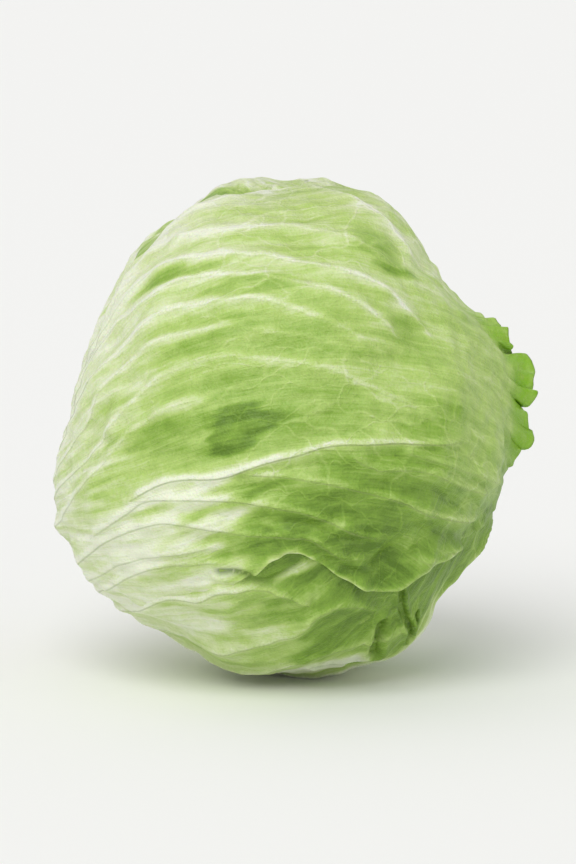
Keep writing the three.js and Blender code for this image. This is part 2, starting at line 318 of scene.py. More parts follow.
# Millimetres.
SWELL_LENGTH = 34  # from one slow swell of the whole head to the next
VEIN_SIDE_LIMIT = 4.0  # how far from a vein its side is told
SAG_WIDTH = 3.6  # from a vein to where the leaf has sunk by about two thirds
RIM_TAPER = 12  # from the rim to where a leaf has its full thickness
LIFT_WIDTH = 4.2  # from a lifted rim to where about a third of its lift is left
LIFT_HIGHLIGHT_WIDTH = 1.8  # the same for the painted highlight along it


def smooth(x):
    """0 below 0, 1 above 1, and an even curve between."""
    x = np.clip(x, 0, 1)
    return x * x * (3 - 2 * x)


def closed_curve(knots):
    """A smooth function of an angle in degrees, through (angle, value) knots, that meets itself."""
    x, y = np.array(sorted(knots), float).T
    x = np.concatenate([x[-2:] - 360, x, x[:2] + 360])
    y = np.concatenate([y[-2:], y, y[:2]])
    slope = np.zeros_like(y)
    slope[1:-1] = (y[2:] - y[:-2]) / (x[2:] - x[:-2])

    def value(angle):
        a = x[2] + np.mod(angle - x[2], 360)
        i = np.searchsorted(x, a, side="right") - 1
        h = x[i + 1] - x[i]
        t = (a - x[i]) / h
        return (y[i] * (1 + 2 * t) * (1 - t) ** 2 + slope[i] * h * t * (1 - t) ** 2
                + y[i + 1] * t * t * (3 - 2 * t) - slope[i + 1] * h * t * t * (1 - t))

    return value


def ripple(points, wavelength, seed):
    """Soft random swells over points, with a standard height of 1."""
    rng = np.random.default_rng(seed)
    waves = 24
    axes = rng.normal(size=(3, waves))
    axes *= 2 * math.pi / wavelength * rng.uniform(0.7, 1.4, waves) / np.linalg.norm(axes, axis=0)
    return np.cos(points @ axes + rng.uniform(0, 2 * math.pi, waves)).sum(axis=1) * math.sqrt(2 / waves)


class Head:
    """The round of the head: its axes, its outside and the flat that it rests on."""

    def __init__(self, sizes):
        self.sizes = sizes
        azimuth, tilt = math.radians(STEM_AZIMUTH), math.radians(STEM_TILT)
        self.stem = np.array([math.cos(azimuth) * math.cos(tilt), math.sin(azimuth) * math.cos(tilt),
                              math.sin(tilt)])
        forward = np.array([0.0, -1.0, 0.0])
        zero = forward - forward.dot(self.stem) * self.stem
        self.zero = zero / np.linalg.norm(zero)
        self.quarter = np.cross(self.stem, self.zero)
        knots = [(OUTLINE_STEP * i, sizes.radius + departure) for i, departure in enumerate(OUTLINE)]
        self.outline = closed_curve(knots)
        self.height = sizes.height
        self.cut_radius = float(self.radius(self.stem[None], 0)[0]) - sizes.stem_recess
        self.stem_cone = math.asin(sizes.stem_radius / self.cut_radius)

    def direction(self, distance, turn):
        along, around = math.radians(distance), math.radians(turn)
        return (math.cos(along) * self.stem
                + math.sin(along) * (math.cos(around) * self.zero + math.sin(around) * self.quarter))

    def radius(self, directions, undulation):
        """Distance from the centre to the outside, cut flat where the head rests."""
        x, y, z = directions.T
        round_ = self.outline(np.degrees(np.arctan2(z, x)))
        radius = 1 / np.sqrt((1 - y ** 2) / round_ ** 2 + (2 * y / self.sizes.depth) ** 2)
        radius = radius + undulation * ripple(directions * self.sizes.radius, SWELL_LENGTH, 11)
        return np.where(z < -0.2, np.minimum(radius, self.height / np.maximum(-z, 0.2)), radius)

    def clear_of_stem(self, directions):
        """Moves directions away from the stem, so that a leaf's base stands round it."""
        across = directions - (directions @ self.stem)[:, None] * self.stem
        distance = np.arctan2(np.linalg.norm(across, axis=1), directions @ self.stem)
        moved = np.hypot(distance, self.stem_cone)
        side = across / np.maximum(np.linalg.norm(across, axis=1), 1e-9)[:, None]
        return np.cos(moved)[:, None] * self.stem + np.sin(moved)[:, None] * side

    def point(self, directions, radius):
        points = directions * radius[:, None]
        points[:, 2] += self.height
        return points


class Leaf:
    """One leaf's own chart of the head: reach from its middle and bearing from its tip."""

    def __init__(self, head, spec):
        distance, turn = spec["centre"]
        self.spec = spec
        self.turn = turn
        self.middle = head.direction(distance, turn)
        self.tipward = head.direction(distance + 90, turn)
        self.sideward = np.cross(self.middle, self.tipward)
        knots = np.array([head.direction(*point) for point in spec["rim"]])
        reach, bearing = self.locate(knots)
        self.gape = closed_curve(spec.get("gape", [(-120, 0), (0, 0), (120, 0)]))
        self.rim_reach = closed_curve(list(zip(bearing, reach)))

    def locate(self, directions):
        reach = np.degrees(np.arccos(np.clip(directions @ self.middle, -1, 1)))
        bearing = np.degrees(np.arctan2(directions @ self.sideward, directions @ self.tipward))
        return reach, bearing

    def direct(self, reach, bearing):
        r, b = np.radians(reach)[:, None], np.radians(bearing)[:, None]
        return (np.cos(r) * self.middle
                + np.sin(r) * (np.cos(b) * self.tipward + np.sin(b) * self.sideward))

    def cover(self, directions):
        """1 well under this leaf, falling to 0 round its rim. A rim that gapes covers more."""
        reach, bearing = self.locate(directions)
        margin = SNUG_MARGIN + (GAPING_MARGIN - SNUG_MARGIN) * np.clip(self.gape(bearing), 0, 1)
        return 1 - smooth((reach - self.rim_reach(bearing) - margin) / COVER_FADE)


def tucked_rim(turn):
    edge = [(distance, turn + half) for distance, half in TUCKED_EDGE]
    other = [(distance, turn - half) for distance, half in TUCKED_EDGE]
    return [(TUCKED_BASE, turn), *edge, (TUCKED_TIP, turn), *reversed(other)]


# Outermost first. Lift is how far the rim stands off, by bearing round the leaf from its tip.
LEAVES = {
    "outer_leaf_front": {
        "centre": (100, 36), "rim": FRONT_RIM, "cells": 300, "veins": FRONT_VEINS,
        "swells": FRONT_SWELLS, "creases": FRONT_CREASES, "patches": FRONT_PATCHES, "frill": (3, 24),
        "gape": [(-180, 0), (-130, 0), (-106, 0), (-97, 0.8), (-88, 1), (-60, 1), (-50, 0.5), (-40, 0.2),
                 (-24, 0.6), (0, 1), (24, 0.6), (40, 0), (60, 0), (120, 0)],
        "lift": [(-180, 0), (-120, 0), (-106, 0.3), (-98, 1.2), (-88, 2.2), (-80, 2.6), (-72, 2.2),
                 (-64, 2.0), (-56, 1.9), (-48, 1.5), (-40, 0.6), (-32, 0), (60, 0.2), (100, 0.3),
                 (140, 0)],
    },
    "outer_leaf_lower": {
        "centre": (84, -68), "rim": LOWER_RIM, "cells": 280, "veins": LOWER_VEINS,
        "swells": LOWER_SWELLS, "creases": LOWER_CREASES, "patches": LOWER_PATCHES,
    },
    "outer_leaf_crown": {
        "centre": (86, 132), "rim": CROWN_RIM, "cells": 240,
        "swells": CROWN_SWELLS, "patches": CROWN_PATCHES,
    },
    "outer_leaf_back": {"centre": (86, -148), "rim": BACK_RIM, "cells": 240},
    "outer_leaf_upper": {"centre": (86, 80), "rim": tucked_rim(80), "cells": 160},
    "outer_leaf_side": {"centre": (86, -20), "rim": tucked_rim(-20), "cells": 120},
    "outer_leaf_ground": {"centre": (86, -110), "rim": tucked_rim(-110), "cells": 120},
    "outer_leaf_rear": {"centre": (86, 178), "rim": tucked_rim(178), "cells": 120},
}


def fan_of_veins(head, turn, seed):
    """A midrib and side veins that leave it one after another and lean towards the tip."""
    rng = np.random.default_rng(seed)
    front, side = head.direction(90, turn), head.direction(90, turn + 90)

    def spot(along, out):
        a, o = math.radians(along), math.radians(out)
        return math.cos(o) * (math.cos(a) * head.stem + math.sin(a) * front) + math.sin(o) * side

    veins = [(1.6, [spot(a, 0) for a in range(14, 166, 8)])]
    for start in range(16, 120, 9):
        for sign in (1, -1):
            spread = sign * rng.uniform(34, 62) * (1 - 0.25 * start / 120)
            length = rng.uniform(62, 84) * (1 - 0.45 * start / 120)
            steps = np.linspace(0, 1, 9)
            line = [spot(start + length * t + rng.normal(0, 0.4), spread * t ** 0.8) for t in steps]
            veins.append((rng.uniform(0.5, 1.0) * (1 - 0.4 * start / 120), line))
    return veins


def smooth_line(knots, per_step=14):
    """Directions and tangents along a smooth line through directions."""
    p = np.array(knots)
    p = np.vstack([2 * p[0] - p[1], p, 2 * p[-1] - p[-2]])
    t = np.linspace(0, 1, per_step, endpoint=False)[:, None]
    parts = []
    for a, b, c, d in zip(p, p[1:], p[2:], p[3:]):
        parts.append(b + 0.5 * t * (c - a + t * (2 * a - 5 * b + 4 * c - d + t * (3 * (b - c) + d - a))))
    line = np.vstack([*parts, p[-2][None]])
    line /= np.linalg.norm(line, axis=1)[:, None]
    tangent = np.gradient(line, axis=0)
    return line, tangent / np.linalg.norm(tangent, axis=1)[:, None]


def line_distance(directions, knots, radius):
    """Millimetres from each direction to a line, signed by side, and the share of its length passed."""
    line, tangent = smooth_line(knots)
    k = np.argmax(directions @ line.T, axis=1)
    off = directions - line[k]
    along = np.einsum("ij,ij->i", off, tangent[k])
    past_end = ((k == 0) & (along < 0)) | ((k == len(line) - 1) & (along > 0))
    square = np.einsum("ij,ij->i", off, off) - np.where(past_end, 0, along ** 2)
    side = np.sign(np.einsum("ij,ij->i", np.cross(tangent[k], off), line[k]))
    return side * np.sqrt(np.maximum(square, 0)) * radius, k / (len(line) - 1)


def mound(head, directions, middle, length, width):
    """A soft oval, 1 at its middle, with its length pointing away from the stem."""
    distance, turn = middle
    centre = head.direction(distance, turn)
    along = head.direction(distance + 90, turn)
    across = np.cross(centre, along)
    radius = head.sizes.radius
    u, v = directions @ along * radius / length, directions @ across * radius / width
    return np.exp(-u ** 2 - v ** 2) * (directions @ centre > 0)


class LeafSurface:
    """The outer face of one leaf on a square grid of cells, with what its material needs."""

    def __init__(self, head, leaves, name):
        self.head = head
        self.sizes = leaves
        self.spec = LEAVES[name]
        self.seed = 100 + list(LEAVES).index(name)
        self.leaf = Leaf(head, self.spec)
        names = list(LEAVES)
        self.above = [Leaf(head, LEAVES[n]) for n in names[:names.index(name)]]
        self.lay_out_grid()
        self.place()
        self.draw_veins()
        self.raise_surface()

    def lay_out_grid(self):
        """Rows and columns of a square, laid out as rings of a disc: share of the rim and bearing."""
        steps = np.linspace(-1, 1, self.spec["cells"] + 1)
        x, y = (side.ravel() for side in np.meshgrid(steps, steps))
        wide = np.abs(x) >= np.abs(y)
        self.share = 1 - (1 - np.where(wide, np.abs(x), np.abs(y))) ** RIM_CROWDING
        safe_x, safe_y = np.where(x == 0, 1, x), np.where(y == 0, 1, y)
        level = 45 * y / safe_x + np.where(x < 0, 180, 0)
        steep = 90 - 45 * x / safe_y + np.where(y < 0, 180, 0)
        self.bearing = np.where(self.share == 0, 0, np.where(wide, level, steep))

    def frill_mask(self):
        if "frill" not in self.spec:
            return np.zeros_like(self.share)
        towards, spread = self.spec["frill"]
        away = np.abs(np.mod(self.bearing - towards + 180, 360) - 180)
        return smooth(1.6 * (1 - away / spread))

    def place(self):
        """Directions of the grid's points, with an uneven rim and lobes on a frilled tip."""
        rim = self.leaf.rim_reach(self.bearing)
        b = np.radians(self.bearing)
        circle = np.column_stack([np.cos(b), np.sin(b), 0 * b]) * 60
        self.frill = self.frill_mask()
        edge = smooth((self.share - 0.88) / 0.12)
        uneven = 0.7 * ripple(circle, 16, self.seed) + 0.35 * ripple(circle, 6, self.seed + 1)
        jagged = 0.8 * self.frill * ripple(circle, 5, self.seed + 3)
        rim = rim + edge * (uneven * (1 - self.frill) + jagged)
        phase = math.pi * self.bearing / FRILL_LOBE + 1.3 * ripple(circle, 12, self.seed + 6)
        lobe = np.abs(np.cos(phase)) ** 0.7 * (0.85 + 0.28 * ripple(circle, 9, self.seed + 7))
        loose = smooth((self.share - 0.9) / 0.1)
        flare = self.share ** 20 * (0.3 + 0.8 * lobe)
        pucker = loose ** 2 * (ripple(circle, 5, self.seed + 8) + ripple(circle, 2.4, self.seed + 2))
        self.stand = self.frill * (self.sizes.frill_reach * flare + self.sizes.ruffle * pucker)
        self.notch = self.frill * loose * (1 - np.clip(1.6 * lobe, 0, 1))
        swing = 1.4 * np.sin(2 * phase + 0.6) + 0.7 * ripple(circle, 3, self.seed + 4)
        curl = self.frill * loose * swing
        self.rim_mm = (1 - self.share) * np.radians(rim) * self.head.sizes.radius
        self.places = self.leaf.direct(self.share * rim, self.bearing + curl)
        self.directions = self.head.clear_of_stem(self.places)
        self.distance = np.degrees(np.arccos(np.clip(self.directions @ self.head.stem, -1, 1)))
        around = self.directions @ self.head.quarter, self.directions @ self.head.zero
        self.turned = np.degrees(np.arctan2(*around))
        self.below_pole = smooth((170 - self.distance) / 30)
        self.under = smooth((12 - self.turned) / 40) * smooth((178 + self.turned) / 60) * self.below_pole
        front = self.head.direction(90, self.leaf.turn)
        side = self.head.direction(90, self.leaf.turn + 90)
        reduced = np.where(self.distance < 90, np.sin(np.radians(self.distance)), 1.0)
        across = np.arcsin(np.clip(self.directions @ side / reduced, -1, 1))
        past_stem = np.arctan2(self.directions @ front, self.directions @ self.head.stem)
        along = np.mod(past_stem + 1, 2 * math.pi) - 1
        radius = self.head.sizes.radius
        own_depth = np.full_like(along, GRAIN_SPACING * self.seed)
        self.grain = np.column_stack([across * radius, along * radius, own_depth])

    def draw_veins(self):
        """Height of the veins, nearness of the nearest one, and the side of it that a point is on."""
        if "veins" in self.spec:
            veins = [(s, [self.head.direction(*k) for k in line]) for s, line in self.spec["veins"]]
        else:
            veins = fan_of_veins(self.head, self.leaf.turn, self.seed)
        count = len(self.share)
        self.vein_height = np.zeros(count)
        self.vein_near = np.zeros(count)
        self.vein_side = np.full(count, VEIN_SIDE_LIMIT)
        nearest = np.full(count, 99.0)
        uneven = 0.15 * ripple(self.directions * self.head.sizes.radius, 20, self.seed + 9)
        for strength, line in veins:
            signed, passed = line_distance(self.directions, line, self.head.sizes.radius)
            signed += uneven
            off = np.abs(signed)
            width = self.sizes.vein_width * (0.6 + 0.6 * strength) * (1.25 - 0.6 * passed)
            fade = smooth((1 - passed) * 6) * smooth(passed * 8)
            height = self.sizes.vein_height * strength ** 1.5 * (1.2 - 0.7 * passed) * fade
            self.vein_height = np.maximum(self.vein_height, height * np.exp(-(off / width) ** 2))
            near = (0.2 + 0.55 * strength) * fade * np.exp(-(off / (2.2 + strength)) ** 2)
            closer = near > self.vein_near
            side = np.clip(signed, -VEIN_SIDE_LIMIT, VEIN_SIDE_LIMIT)
            self.vein_side = np.where(closer, side, self.vein_side)
            self.vein_near = np.maximum(self.vein_near, near)
            nearest = np.minimum(nearest, off + 6 * (1 - fade))
        self.puff = 1 - np.exp(-(nearest / SAG_WIDTH) ** 2)

    def raise_surface(self):
        head, sizes = self.head, self.sizes
        covered = sum((leaf.cover(self.places) for leaf in self.above), np.zeros(len(self.share)))
        open_ = 1 - smooth(covered)
        points = self.directions * head.sizes.radius
        slack = 1 + 0.9 * self.under * smooth((self.distance - 80) / 20)
        relief = self.vein_height - sizes.sag * slack * (self.puff - 0.4)
        puckers = 0.12 * ripple(self.grain * [1, 0.2, 1], 4, self.seed + 5)
        relief += 0.22 * ripple(points, 9, self.seed + 4) + puckers
        for middle, length, width, height in self.spec.get("swells", []):
            relief += height * mound(head, self.directions, middle, length, width)
        # painted shade: the notches of the frilled tip and the grooves of the creases are painted deep
        # green where shade falls in them
        self.crease_shade = 0.7 * self.notch
        self.lift = np.zeros(len(self.share))
        for depth, width, line in self.spec.get("creases", []):
            knots = [head.direction(*k) for k in line]
            signed, _ = line_distance(self.directions, knots, head.sizes.radius)
            groove = np.exp(-(signed / width) ** 2)
            relief += depth * (0.35 * np.exp(-((np.abs(signed) - 2.2 * width) / width) ** 2) - groove)
            self.crease_shade = np.maximum(self.crease_shade, groove)
        relief = (relief - 0.3) * (0.15 + 0.85 * open_)
        for leaf in self.above:
            for middle, length, width, height in leaf.spec.get("swells", []):
                relief += min(height, 0) * mound(head, self.directions, middle, length, width)
        if "lift" in self.spec:
            self.lift = np.maximum(closed_curve(self.spec["lift"])(self.bearing), 0)
            relief += self.lift * np.exp(-(self.rim_mm / LIFT_WIDTH) ** 2)
        relief += self.stand
        depth = sizes.pitch * covered
        base = head.radius(self.directions, head.sizes.undulation) * (1 - depth / head.sizes.radius)
        taper = 0.2 + 0.8 * smooth(self.rim_mm / RIM_TAPER)
        stout = 1 + 0.8 * smooth((45 - self.distance) / 35)
        self.outer = head.point(self.directions, base + relief)
        self.inner = head.point(self.directions, base + relief - sizes.thickness * taper * stout)
        self.outer[:, 2] = np.maximum(self.outer[:, 2], 0)
        self.inner[:, 2] = np.maximum(self.inner[:, 2], self.outer[:, 2] + 0.2 * (self.outer[:, 2] < 2))
        self.tint()

    def tint(self):
        """Tone, from 0 for deep green to 1 for cream, with painted light and shade in it, and how bright
        a tip each point is.
        """
        tone = np.interp(self.distance, [15, 40, 60, 80, 100, 125, 160],
                         [0.9, 0.8, 0.68, 0.58, 0.48, 0.44, 0.46])
        tone += 0.12 * self.vein_near - 0.06 * self.puff
        # partly the leaf's own colour and partly painted light and shade: the upper side is painted
        # paler, as if lit from above, and the underside darker and greener, partly as painted shade
        upper = smooth((self.turned - 15) / 60) * smooth((175 - self.turned) / 50)
        tone += (0.2 + 0.12 * smooth((125 - self.distance) / 30)) * upper * self.below_pole
        tone -= 0.29 * self.under * smooth((self.distance - 82) / 22)
        # painted highlight: a paler band along a lifted rim, where its edge catches the light
        tone += 0.2 * self.lift * np.exp(-(self.rim_mm / LIFT_HIGHLIGHT_WIDTH) ** 2)
        tone += 0.14 * smooth((self.distance - 118) / 30)
        beside_rib = smooth((12 - np.abs(self.turned + 12)) / 14)
        tone -= 0.1 * beside_rib * smooth((self.distance - 70) / 20) * self.below_pole
        fleck = 0.2 * ripple(self.grain * [1, 0.22, 1], 6, self.seed + 10)
        for middle, length, width, target in self.spec.get("patches", []):
            patch = mound(self.head, self.directions, middle, 1.3 * length, 1.3 * width)
            sharp = 2.2 if target < PALE_PATCH else 1.0
            share = smooth(sharp * (1.35 * patch + fleck * (patch > 0.05) - 0.75) + 0.5)
            tone += share * (target - tone)
        self.tone = tone
        self.tip = self.frill * smooth((self.share - 0.9) / 0.06)
        outward = smooth((self.distance - 84) / 26) * smooth((172 - self.distance) / 20)
        self.net = (1 - self.frill) * outward
        # painted shadow beside the veins, stronger on the lower side of the head and near the base
        lower = smooth((30 - self.turned) / 40) * smooth((178 + self.turned) / 60) * self.below_pole
        lower = np.maximum(lower, smooth((72 - self.distance) / 24))
        self.vein_shadow_line = self.vein_near * (0.2 + 0.5 * lower)


def leaf_mesh(surface, name, coarse=4):
    """One closed mesh: a fine outer face and an inner face with fewer cells, joined round the rim."""
    cells = surface.spec["cells"]
    span = cells + 1
    grid = np.arange(span * span).reshape(span, span)
    picked = grid[::coarse, ::coarse]
    back = span * span + np.arange(picked.size).reshape(picked.shape)
    faces = np.column_stack([grid[:-1, :-1].ravel(), grid[:-1, 1:].ravel(), grid[1:, 1:].ravel(),
                             grid[1:, :-1].ravel()]).tolist()
    faces += np.column_stack([back[:-1, :-1].ravel(), back[1:, :-1].ravel(), back[1:, 1:].ravel(),
                              back[:-1, 1:].ravel()]).tolist()
    rims = [(grid[0], back[0]), (grid[:, -1], back[:, -1]), (grid[-1, ::-1], back[-1, ::-1]),
            (grid[::-1, 0], back[::-1, 0])]
    for fine, rough in rims:
        for i in range(len(rough) - 1):
            strip = fine[i * coarse:(i + 1) * coarse + 1].tolist()
            faces.append([*reversed(strip), int(rough[i]), int(rough[i + 1])])
    points = np.vstack([surface.outer, surface.inner[picked.ravel()]]) * MM
    mesh = bpy.data.meshes.new(name)
    mesh.from_pydata(points.tolist(), [], faces)
    mesh.polygons.foreach_set("use_smooth", [True] * len(mesh.polygons))
    for label in ("tone", "tip", "crease_shade", "net", "vein_near", "vein_side", "vein_shadow_line"):
        values = getattr(surface, label)
        data = mesh.attributes.new(label, "FLOAT", "POINT").data
        data.foreach_set("value", np.concatenate([values, values[picked.ravel()]]).astype(np.float32))
    grain = np.vstack([surface.grain, surface.grain[picked.ravel()]]).astype(np.float32)
    mesh.attributes.new("grain", "FLOAT_VECTOR", "POINT").data.foreach_set("vector", grain.ravel())
    mesh.update()
    return mesh


# ---- Materials --------------------------------------------------------------------------------


def new_material(name):
    material = bpy.data.materials.new(name)
    material.use_nodes = True
    material.node_tree.nodes.clear()
    return material, material.node_tree


def add(tree, kind, inputs, out=0, **settings):
    """Adds a shader node, sets it up, feeds its inputs by name or number, and gives one output."""
    node = tree.nodes.new("ShaderNode" + kind)
    for key, value in settings.items():
        setattr(node, key, value)
    for key, value in inputs.items():
        if isinstance(value, bpy.types.NodeSocket):
            tree.links.new(value, node.inputs[key])
        else:
            node.inputs[key].default_value = value
    return None if out is None else node.outputs[out]


def stained(rgb):
    return (*rgb, 1.0)


def band(tree, value, middle, width):
    """1 where a value is at the middle, falling softly to 0 at the width on both sides."""
    off = add(tree, "Math", {0: value, 1: middle}, operation="SUBTRACT")
    off = add(tree, "Math", {0: off}, operation="ABSOLUTE")
    return add(tree, "MapRange", {0: off, 1: 0.0, 2: width, 3: 1.0, 4: 0.0},
               interpolation_type="SMOOTHSTEP")


def waxy_leaf(colours):
    """Waxy outer leaf, grown in the light. It gives a soft broad gloss over fine streaks that run along
    the leaf, green where it grew sunlit and cream along its veins and base."""
    material, tree = new_material("waxy_outer_leaf")
    traits = {name: add(tree, "Attribute", {}, out=2, attribute_name=name)
              for name in ("tone", "tip", "crease_shade", "net", "vein_near", "vein_side", "vein_shadow_line")}
    grain = add(tree, "Attribute", {}, out=1, attribute_name="grain")
    place = add(tree, "TexCoord", {}, out=3)

    fibres = add(tree, "Mapping", {"Vector": grain, "Scale": (1.5, 0.07, 0.02)})
    streaks = add(tree, "TexNoise", {"Vector": fibres, "Scale": 1.0, "Detail": 5.0,
                                       "Distortion": 0.4})  # 0.7 mm apart
    bands = add(tree, "Mapping", {"Vector": grain, "Scale": (0.21, 0.03, 0.02)})
    blotches = add(tree, "TexNoise", {"Vector": bands, "Scale": 1.0, "Detail": 5.0,
                                        "Distortion": 0.6})  # 5 mm by 30 mm
    mottle = add(tree, "TexNoise", {"Vector": place, "Scale": 260.0, "Detail": 6.0,
                                      "Roughness": 0.62})  # blisters of 4 mm
    bends = add(tree, "TexNoise", {"Vector": grain, "Scale": 0.1, "Detail": 1.0}, out=1)  # 10 mm
    bent = add(tree, "VectorMath", {0: bends, 1: (9.0, 14.0, 0.0), 2: grain}, operation="MULTIPLY_ADD")
    loops = add(tree, "Mapping", {"Vector": bent, "Scale": (0.1, 0.045, 0.02)})  # 10 by 22 mm
    net = add(tree, "TexVoronoi", {"Vector": loops, "Scale": 1.0}, feature="DISTANCE_TO_EDGE")
    net = band(tree, net, 0.0, 0.05)
    net = add(tree, "Math", {0: net, 1: traits["net"]}, operation="MULTIPLY")
    pores = add(tree, "TexNoise", {"Vector": place, "Scale": 1300.0, "Detail": 2.0})  # 0.8 mm

    rib = band(tree, traits["vein_side"], 0.45, 2.0)
    rib = add(tree, "Math", {0: rib, 1: traits["vein_near"]}, operation="MULTIPLY")
    frosted = add(tree, "Math", {0: pores, 1: 0.9, 2: 0.25}, operation="MULTIPLY_ADD")
    rib = add(tree, "Math", {0: rib, 1: frosted}, operation="MULTIPLY")
    # painted shadow: a dark line on one side of each vein, where the raised vein casts its shadow
    line = band(tree, traits["vein_side"], -0.55, 0.5)
    line = add(tree, "Math", {0: line, 1: traits["vein_shadow_line"]}, operation="MULTIPLY")

    tone = traits["tone"]
    for part, weight in ((streaks, 0.3), (blotches, 0.7), (mottle, 0.34), (net, 0.11), (pores, 0.16),
                         (rib, 0.32)):
        tone = add(tree, "Math", {0: part, 1: weight, 2: tone}, operation="MULTIPLY_ADD")
    tone = add(tree, "MapRange", {0: tone, 1: 0.75, 2: 1.75})
    leaf_colour = add(tree, "ValToRGB", {0: tone})
    stops = leaf_colour.node.color_ramp.elements
    stops.remove(stops[1])
    stops[0].color = stained(colours.deep_green)
    for position, shade in ((0.3, colours.green), (0.58, colours.light_green), (0.8, colours.pale_green),
                            (1.0, colours.cream)):
        stops.new(position).color = stained(shade)
    with_vein_shadow = add(tree, "Mix", {0: line, 6: leaf_colour, 7: stained(colours.vein_shadow_line)}, out=2,
                data_type="RGBA")
    tip = add(tree, "MapRange", {0: mottle, 1: 0.35, 2: 0.6, 3: 1.0, 4: 0.65})
    tip = add(tree, "Math", {0: tip, 1: traits["tip"]}, operation="MULTIPLY")
    tipped = add(tree, "Mix", {0: tip, 6: with_vein_shadow, 7: stained(colours.tip_green)}, out=2,
                 data_type="RGBA")
    # painted shade in the creases and frill notches, mixed towards deep green
    shaded_creases = add(tree, "Math", {0: traits["crease_shade"], 1: 0.75}, operation="MULTIPLY")
    final = add(tree, "Mix", {0: shaded_creases, 6: tipped, 7: stained(colours.deep_green)}, out=2,
                data_type="RGBA")

    height = add(tree, "Math", {0: streaks, 1: 0.45}, operation="MULTIPLY")
    for part, weight in ((mottle, 0.7), (net, 0.2), (rib, 0.3), (line, -0.25), (pores, 0.55)):
        height = add(tree, "Math", {0: part, 1: weight, 2: height}, operation="MULTIPLY_ADD")
    bump = add(tree, "Bump", {"Strength": 0.9, "Distance": 0.7 * MM, "Height": height})
    rough = add(tree, "Math", {0: mottle, 1: 0.24, 2: 0.28}, operation="MULTIPLY_ADD")
    skin = add(tree, "BsdfPrincipled", {
        "Base Color": final, "Roughness": rough, "IOR": 1.42, "Normal": bump, "Subsurface Weight": 0.15,
        "Subsurface Radius": (0.6, 1.0, 0.25), "Subsurface Scale": 1.4 * MM})
    add(tree, "OutputMaterial", {"Surface": skin}, out=None)
    return material


def heart_leaf(colours):
    """Inner leaf, grown without light. It is pale yellow, moist and nearly even in tone."""
    material, tree = new_material("moist_inner_leaf")
    place = add(tree, "TexCoord", {}, out=3)
    mottle = add(tree, "TexNoise", {"Vector": place, "Scale": 120.0, "Detail": 4.0})  # 8 mm
    tone = add(tree, "Mix", {0: mottle, 6: stained(colours.heart), 7: stained(colours.light_green)},
               out=2, data_type="RGBA")
    bump = add(tree, "Bump", {"Strength": 0.4, "Distance": 0.5 * MM, "Height": mottle})
    skin = add(tree, "BsdfPrincipled", {
        "Base Color": tone, "Roughness": 0.4, "IOR": 1.42, "Normal": bump})
    add(tree, "OutputMaterial", {"Surface": skin}, out=None)
    return material


def cut_stem(colours):
    """Stem cut with a knife. Its flesh is matte and cream, and rusts in rings and along the rim."""
    material, tree = new_material("cut_stem_flesh")
    rust = add(tree, "Attribute", {}, out=2, attribute_name="rust")
    place = add(tree, "TexCoord", {}, out=3)
    fibre = add(tree, "TexNoise", {"Vector": place, "Scale": 420.0, "Detail": 5.0})  # bundles of 2.4 mm
    rust = add(tree, "Math", {0: rust, 1: fibre}, operation="MULTIPLY")
    rust = add(tree, "Math", {0: rust, 1: 1.7}, operation="MULTIPLY", use_clamp=True)
    tone = add(tree, "Mix", {0: rust, 6: stained(colours.stem_flesh), 7: stained(colours.stem_rust)},
               out=2, data_type="RGBA")
    bump = add(tree, "Bump", {"Strength": 0.5, "Distance": 0.4 * MM, "Height": fibre})
    flesh = add(tree, "BsdfPrincipled", {
        "Base Color": tone, "Roughness": 0.62, "IOR": 1.4, "Normal": bump, "Subsurface Weight": 0.1,
        "Subsurface Scale": 1.5 * MM})
    add(tree, "OutputMaterial", {"Surface": flesh}, out=None)
    return material


def floor_paint(stage):
    """Matte pale paint, rolled on. It is even, with a trace of roller texture in its roughness."""
    material, tree = new_material("matte_floor_paint")
    place = add(tree, "TexCoord", {}, out=3)
    roller = add(tree, "TexNoise", {"Vector": place, "Scale": 300.0})  # stipple of 3 mm
    rough = add(tree, "Math", {0: roller, 1: 0.1, 2: 0.8}, operation="MULTIPLY_ADD")
    paint = add(tree, "BsdfPrincipled", {"Base Color": stained(stage.floor), "Roughness": rough})
    add(tree, "OutputMaterial", {"Surface": paint}, out=None)
    return material


# ---- Operators --------------------------------------------------------------------------------


def shared_material(name, make, settings):
    return bpy.data.materials.get(name) or make(settings)


def dress_leaf(context, name):
    """Makes the finished leaf that stands for one CAD leaf."""
    scene = context.scene
    head = Head(in_millimetres(scene.lettuce_head))
    surface = LeafSurface(head, in_millimetres(scene.lettuce_leaves), name)
    mesh = leaf_mesh(surface, "dressed_" + name)
    mesh.materials.append(shared_material("waxy_outer_leaf", waxy_leaf, scene.lettuce_colours))
    piece = bpy.data.objects.new("dressed_" + name, mesh)
    scene.collection.objects.link(piece)
    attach(piece, BODY)
    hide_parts(name)


class LETTUCE_OT_front_leaf(bpy.types.Operator):
    """Make the large front leaf with its rib, folded lip and frilled tip"""
    bl_idname = "lettuce.front_leaf"
    bl_label = "Front leaf"

    def execute(self, context):
        dress_leaf(context, "outer_leaf_front")
        return {"FINISHED"}


class LETTUCE_OT_lower_leaf(bpy.types.Operator):
    """Make the torn and creased leaf that the head lies on"""
    bl_idname = "lettuce.lower_leaf"
    bl_label = "Lower leaf"

    def execute(self, context):
        dress_leaf(context, "outer_leaf_lower")
        return {"FINISHED"}


class LETTUCE_OT_wrapping_leaves(bpy.types.Operator):
    """Make the two leaves that close the top and the back of the head"""
    bl_idname = "lettuce.wrapping_leaves"
    bl_label = "Wrapping leaves"

    def execute(self, context):
        for name in ("outer_leaf_crown", "outer_leaf_back"):
            dress_leaf(context, name)
        return {"FINISHED"}


